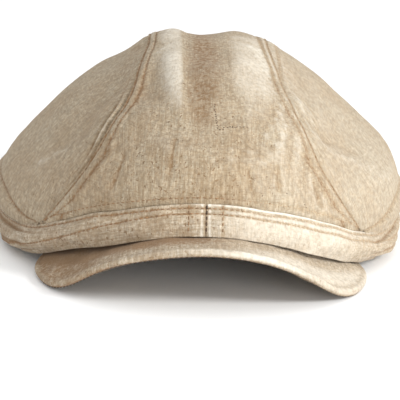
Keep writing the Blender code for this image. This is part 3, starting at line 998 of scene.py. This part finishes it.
# Stitch rows: distance below the top edge, and from the join at the front
TOP_ROW = 0.0024
JOIN_ROW = 0.0097
JOIN_THREAD = 0.0004
HEM_TURN = 0.001
HEM_DROP = 0.0001
HEM_DROP_BEHIND = 0.001
# Creases of the flanks: share of the depth at these degrees, width and depth
BAND_CREASES = (
    ([46, 56, 66, 80, 110, 150], [0.34, 0.25, 0.16, 0.13, 0.16, 0.2], 0.045, 0.0013),
    ([44, 54, 64, 80, 110, 150], [0.72, 0.66, 0.52, 0.46, 0.5, 0.55], 0.05, 0.0011),
    ([43, 49, 56, 64, 80, 150], [0.93, 0.86, 0.84, 0.88, 0.9, 0.9], 0.035, 0.0007),
)


def band_creases(degrees, share, side):
    """How far the flank's creases lift the cloth, and where their bottoms are."""
    flank = step(45, 62, degrees) * (1 - step(118, 150, degrees))
    lift = bottoms = 0
    for at, shares_at, width, deep in BAND_CREASES:
        middle = np.interp(degrees[:, 0], at, shares_at)[:, None]
        middle = middle + 0.03 * np.sin(np.radians(degrees) * 7 + side)
        bottom = hill(share, middle, width) * flank
        bottoms = bottoms + bottom
        lift = lift - deep * bottom
        lift = lift + 0.5 * deep * hill(share, middle + 1.7 * width, width) * flank
    return lift, np.minimum(bottoms, 1)


def band_face(face, degrees, side):
    """One half's outer face: its relief, its wear and painted light and shade, and its lines of
    stitches.
    """
    normal = outward_normals(face)
    down = lengths(face, 1)
    height = down[:, -1:]
    share = down / height
    cover = band_cover(np.radians(degrees))
    tack = 0.3 + 0.3 * step(5, 60, degrees) * (side < 0)
    join = norms(face[:, :, :2] - face[:1, :, :2])
    lift, creased = band_creases(degrees, share, side)
    lift = lift + 0.0004 * ripple(face * [1, 1, 1.5], 0.024, 5)
    lift += 0.0002 * hill(down, 0.0007, 0.0009) * cover
    lift -= 0.0003 * hill(down, TOP_ROW, 0.0006) * cover + 0.0003 * hill(share, tack, 0.035)
    lift -= 0.0003 * hill(join, JOIN_ROW, 0.0007) + 0.0004 * hill(join, 0, 0.0012)
    face = face + normal * lift[..., None]
    x = face[..., 0]
    # Paint: the pale top edge, painted light on the right side and painted shade on the left, then
    # rows and join, painted highlights on crests, and painted shade in the creases
    edge = 1 - 0.9 * step(90, 110, degrees)
    worn_and_shaded = (0.28 * edge * hill(down, 0.0004, 0.0007) - 0.65 * hill(down, 0.0022, 0.0009)) * cover
    worn_and_shaded += 0.5 * step(-0.02, 0.03, x) * step(0.125, 0.07, np.abs(x))
    worn_and_shaded -= 0.35 * step(0.0, -0.03, x)
    worn_and_shaded -= 0.55 * hill(share, tack, 0.04) + 0.4 * hill(join, JOIN_ROW, 0.0009)
    worn_and_shaded += 0.7 * hill(join, 0.0016, 0.0008) - 0.8 * hill(join, 0, 0.001)
    worn_and_shaded += crest_of(lift, 8) * 0.2 - 0.75 * creased
    return face, worn_and_shaded, (down, (tack * height)[:, 0], join)


def add_band():
    gap = 0.0002 / 0.13
    angles = np.linspace(gap, math.pi - gap, 430)
    degrees = np.degrees(angles)[:, None]
    cover = band_cover(angles)
    outer = band_section(
        angles, np.linspace(0, 1, 40), 0.0, -0.0016 + 0.0024 * cover, -0.0006 + 0.0016 * cover
    )
    edge, rim = Ring(BAND_EDGE), Ring(HEAD_RIM)
    inside = np.linspace(0, 1, 10)[None, :, None]
    inner = edge.point(angles, -0.0022, 0.0016)[:, None] * (1 - inside)
    inner = inner + rim.point(angles, 0.0012, 0.0016)[:, None] * inside
    drop = HEM_DROP + HEM_DROP_BEHIND * step(100, 135, degrees[:, 0])
    turn = edge.point(angles, -HEM_TURN, -drop)[:, None]
    made, lines = [], []
    for side, name in ((1, "right"), (-1, "left")):
        face, worn_and_shaded, (down, tack, join) = band_face(outer * [side, 1, 1], degrees, side)
        share = down / down[:, -1:]
        # Soil, and painted shade: heavier on the -X half than on the +X half
        soil_and_shade = 0.75 - 0.55 * step(-0.02, 0.03, face[..., 0])
        hem, inside_hem = turn * [side, 1, 1], inner * [side, 1, 1]
        if side < 0:
            # The left half hangs fuller at the flank and gapes over the visor
            fuller = hill(degrees, 78, 16) * step(0.35, 0.8, share)
            face = face + fuller[..., None] * [-0.0005, -0.003, -0.0012]
            gape = 0.0024 * hill(degrees, 36, 9)[..., None] * [0, 0, 1]
            face = face + gape * step(0.4, 1.0, share)[..., None]
            hem = hem + gape
            inside_hem = inside_hem + gape * (1 - inside)
        whole = np.concatenate([face, hem, inside_hem], axis=1)
        pads = [(0, 0), (0, whole.shape[1] - face.shape[1])]
        band = shell(
            f"band_{name}_cloth", whole, BAND_LINEN, wear_and_shading=np.pad(worn_and_shaded, pads), grime_and_shade=np.pad(soil_and_shade, pads)
        )
        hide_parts("band_" + name)
        made.append(band)
        up = outward_normals(face)
        lines += [stitch_row(face, up, down, TOP_ROW), stitch_row(face, up, down, tack)]
        lines.append(stitch_row(*flipped(face, up, join), JOIN_ROW))
        if side > 0:
            seam = stitch_row(*flipped(face, up, join), JOIN_THREAD)
    made.append(stitch_mesh("band_stitching", lines, BROWN_THREAD, radius=0.00032))
    made.append(stitch_mesh(
        "band_seam_stitching", [seam], DARK_THREAD, 0.0026, 0.0007, 0.00045
    ))
    return made


# VISOR

VISOR_SWELL = 0.002
UNDER_DROP = 0.0013
ROLL_RADIUS = 0.0017
# The rolled front edge: degrees round it, and the paint there: a little painted highlight on top and
# painted shade where it turns under
VISOR_ROLL = ((25, 0.15), (50, 0.2), (75, 0.15), (100, -0.1), (125, -0.6), (145, -1.0))


def visor_grid(rows, columns, inset=0.0):
    """The visor's middle surface: rows run from the head rim to the front edge."""
    across = np.linspace(-1, 1, columns) * (1 - inset * 0.8)
    root = Ring(HEAD_RIM).point(across * VISOR_REACH, 0.0012, -0.0056)
    outline = smooth_curve([(-p[0], *p[1:]) for p in VISOR_EDGE[:0:-1]] + VISOR_EDGE)
    edge = along(outline, (across + 1) / 2)
    out = (inset * 0.4 + (1 - inset * 1.6) * np.linspace(0, 1, rows))[:, None, None]
    arch = np.sin(np.pi * out) * [0, 0, 0.0004]
    grid = root[None] * (1 - out) + edge[None] * out + arch
    # The edge bends up a little, more on the -X side
    x = grid[..., 0]
    rise = 0.0036 * hill(x, -0.06, 0.026) + 0.0016 * hill(x, 0.048, 0.026)
    rise = rise + 0.0008 * hill(x, 0, 0.03)
    rise = rise * np.linspace(0, 1, rows)[:, None] ** 1.4
    return grid + rise[..., None] * [0, 0, 1]


def visor_normals(grid):
    normal = normals_of(grid)
    return normal * np.sign(normal[..., 2].mean())


def visor_wear_and_shade(top, edge, out):
    """Pale along the edge; painted light on the +X side; painted shade at the +X tip's edge, at the
    root under the band, most on the -X side, and over the -X side.
    """
    x = top[..., 0]
    rolled = np.array([painted_light for _, painted_light in VISOR_ROLL])[:, None]
    extra = [(0, len(VISOR_ROLL)), (0, 0)]
    worn_and_shaded = np.pad(0.4 * hill(edge, 0.0, 0.0022) - 0.15, extra)
    worn_and_shaded[-len(VISOR_ROLL):] = rolled
    worn_and_shaded += 0.66 * step(-0.03, 0.05, x) - 0.3 * step(-0.03, -0.08, x)
    tip = np.pad(hill(edge, 0.0, 0.004), extra, constant_values=1)
    worn_and_shaded -= 0.42 * tip * step(0.02, 0.07, x)
    root = np.pad(1 - step(0.028, 0.041, out), extra)
    worn_and_shaded -= (0.5 + 1.2 * step(0.03, -0.03, x)) * root
    return worn_and_shaded - 0.5 * step(-0.035, -0.075, x)


def add_visor():
    grid = visor_grid(60, 300)
    normal = visor_normals(grid)
    out = lengths(grid, 0)
    edge = out[-1:] - out
    swell = VISOR_SWELL + 0.00025 * ripple(grid, 0.021, 13)
    swell += 0.0004 * hill(edge, 0.0012, 0.0016) - 0.0002 * hill(edge, 0.0048, 0.0011)
    forward = grid[-1] - grid[-2]
    forward /= norms(forward)[:, None]
    turn = np.radians([degrees for degrees, _ in VISOR_ROLL])[:, None, None]
    roll = forward * 0.8 * np.sin(turn) + normal[-1] * 1.05 * np.cos(turn)
    top = np.concatenate([grid + normal * swell[..., None], grid[-1] + ROLL_RADIUS * roll])
    # Soil, and painted shade: heavier on the -X side than on the +X side
    soil_and_shade = 0.8 - 0.6 * step(-0.02, 0.04, top[..., 0])
    cover = shell("visor_top", top, BAND_LINEN, wear_and_shading=visor_wear_and_shade(top, edge, out), grime_and_shade=soil_and_shade)
    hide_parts("visor_top_cover")
    low = visor_grid(40, 220, 0.012)
    low_normal = visor_normals(low)
    low = low - low_normal * UNDER_DROP
    low = low - low_normal * (0.0002 * ripple(low, 0.02, 14))[..., None]
    under = shell("visor_under", low, UNDER_LINEN)
    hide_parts("visor_under_cover")
    middle = visor_grid(30, 120, 0.05)
    middle = middle + visor_normals(middle) * BOARD / 2
    core = shell("visor_core", middle, BOARD_GREY, BOARD)
    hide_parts("visor_board")
    line = grid[-1] + forward * 0.0008 - normal[-1] * 0.0015
    thread = stitch_mesh(
        "visor_stitching", [(line, forward - normal[-1])], DARK_THREAD, 0.0024, 0.0006, 0.00035
    )
    return [cover, under, core, thread]


# INSIDE

def add_lining():
    ring = Ring(HEAD_RIM, 0.0, SWEATBAND_HEIGHT + 4 * GAP)
    dome = Dome(ring, APEX_Z - LINING_DROP)
    side = side_grid(dome, 80, 45, 0.0005)
    made = []
    for name, grid in (
        ("centre", centre_grid(dome, 80, 60, -0.0005)),
        ("right", side), ("left", side * [-1, 1, 1]),
    ):
        normal = outward_normals(grid)
        share = dome.share(grid)
        sag = 0.0012 * ripple(grid, 0.045, 6) * (1 - share**4) - 0.0004
        grid = grid + normal * sag[..., None]
        piece = shell("lining_" + name, grid, LINING_COTTON, LINING_CLOTH)
        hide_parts(f"lining_{name}_panel")
        made.append(piece)
    rim = Ring(HEAD_RIM)
    angles = np.linspace(-math.pi, math.pi, 361)[:-1]
    lifts = np.linspace(0, SWEATBAND_HEIGHT, 18)
    grid = np.stack([rim.point(angles, 0, lift) for lift in lifts], axis=1)
    normal = outward_normals(grid, True)
    grid = grid + normal * (0.0003 * ripple(grid, 0.03, 2))[..., None]
    band = shell("sweatband_cloth", grid, LINING_COTTON, ring=True)
    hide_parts("sweatband")
    made.append(band)
    return made


# BACK STRAP

STRAP_ROW = 0.0016
# Degrees round the band: where each strap starts and ends, and its stand-off there
LONG_STRAP = (152, 186, 90, ([152, 167, 173, 190], [TAB_OUT, TAB_OUT, STRAP_OUT, STRAP_OUT]))
SHORT_STRAP = (176.5, 202, 70, ([170, 210], [TAB_OUT, TAB_OUT]))


def strap_grid(first, last, count, stand_off):
    angles = np.linspace(math.radians(first), math.radians(last), count)
    half = STRAP_WIDTH / 2 / BAND_DEPTH_BEHIND
    shares = np.linspace(0.5 - half, 0.5 + half, 15)
    plain = band_section(angles, shares)
    outward = band_section(angles, shares, 1.0) - plain
    return plain + outward * np.interp(np.degrees(angles), *stand_off)[:, None, None]


def add_straps():
    made, lines = [], []
    for name, node_name, course in (
        ("strap_long", "back_strap", LONG_STRAP), ("strap_short", "back_tab", SHORT_STRAP),
    ):
        grid = strap_grid(*course)
        normal = outward_normals(grid)
        outer = grid + normal * STRAP_CLOTH
        across = lengths(outer, 1)
        edge = np.minimum(across, across[:, -1:] - across)
        outer = outer - normal * (0.0003 * hill(edge, STRAP_ROW, 0.0005))[..., None]
        worn_and_shaded = 0.5 * hill(edge, 0, 0.0008) - 0.6 * hill(edge, STRAP_ROW, 0.0007)
        piece = shell(name, outer, BAND_LINEN, STRAP_CLOTH, wear_and_shading=worn_and_shaded)
        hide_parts(node_name)
        made.append(piece)
        up = outward_normals(outer)
        lines.append(stitch_row(outer, up, across, STRAP_ROW))
        mirror = [field[:, ::-1] for field in (outer, up, across[:, -1:] - across)]
        lines.append(stitch_row(*mirror, STRAP_ROW))
    made.append(stitch_mesh("strap_stitching", lines, BROWN_THREAD, 0.002, 0.0008, 0.00022))
    return made


def dress_metal():
    metal = brass()
    for name in ("clasp_base", "clasp_pin", "clasp_lever"):
        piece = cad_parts[name]
        piece.data.materials.clear()
        piece.data.materials.append(metal)


# STUDIO

AIM = np.array([0, 0, 0.066])
LIGHT_AIM = Vector((0, 0, 0.05))
CAMERA_AWAY = 1.3
PICTURE_WIDTH = 0.2495
SENSOR = 36
FLOOR_HALF = 6
NEAR_WHITE = (1.0, 1.0, 0.99)


def add_camera():
    turn, rise, tilt = (math.radians(angle) for angle in (-2, 14, 2))
    back = Vector((
        math.sin(turn) * math.cos(rise), -math.cos(turn) * math.cos(rise), math.sin(rise)
    ))
    data = bpy.data.cameras.new("camera")
    data.sensor_width = SENSOR
    data.lens = SENSOR * CAMERA_AWAY / PICTURE_WIDTH
    camera = linked("camera", data)
    # The cap stands a little above the middle of the picture, and to the right
    down = math.atan(0.15 * SENSOR / data.lens)
    left = math.atan(0.00375 * SENSOR / data.lens)
    look = (-back).to_track_quat("-Z", "Y").to_matrix() @ Matrix.Rotation(tilt, 3, "Z")
    look = look @ Matrix.Rotation(-down, 3, "X") @ Matrix.Rotation(left, 3, "Y")
    place = Vector(AIM + STAND) + back * CAMERA_AWAY
    camera.matrix_world = Matrix.Translation(place) @ look.to_4x4()
    bpy.context.scene.camera = camera


def add_light(name, place, size, power):
    data = bpy.data.lights.new(name, "AREA")
    data.shape = "DISK"
    data.size = size
    data.energy = power
    data.color = NEAR_WHITE
    light = linked(name, data)
    light.location = place
    aim = LIGHT_AIM - Vector(place)
    light.rotation_euler = aim.to_track_quat("-Z", "Y").to_euler()


def add_floor():
    data = bpy.data.meshes.new("floor")
    corners = [(-1, -1, 0), (1, -1, 0), (1, 1, 0), (-1, 1, 0)]
    data.from_pydata(np.array(corners) * FLOOR_HALF, [], [(0, 1, 2, 3)])
    material = new_material("floor_white")[0]
    data.materials.append(finish(material, Base_Color=(0.92, 0.92, 0.92, 1), Roughness=0.9))
    floor = linked("floor", data)


def add_studio():
    add_floor()
    world = bpy.data.worlds.new("studio")
    world.use_nodes = True
    sky = world.node_tree.nodes["Background"]
    sky.inputs["Color"].default_value = (1, 1, 1, 1)
    sky.inputs["Strength"].default_value = 1.0
    bpy.context.scene.world = world
    add_light("key", (1.15, -0.75, 0.8), 0.4, 17)
    add_light("low", (0.6, -1.45, 0.24), 0.9, 9.5)
    bpy.context.scene.view_settings.view_transform = "Standard"


def main():
    cloth = add_crown() + add_band() + add_visor() + add_lining() + add_straps()
    for piece in cloth:
        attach(piece, "cap")
    dress_metal()
    add_studio()
    add_camera()


main()
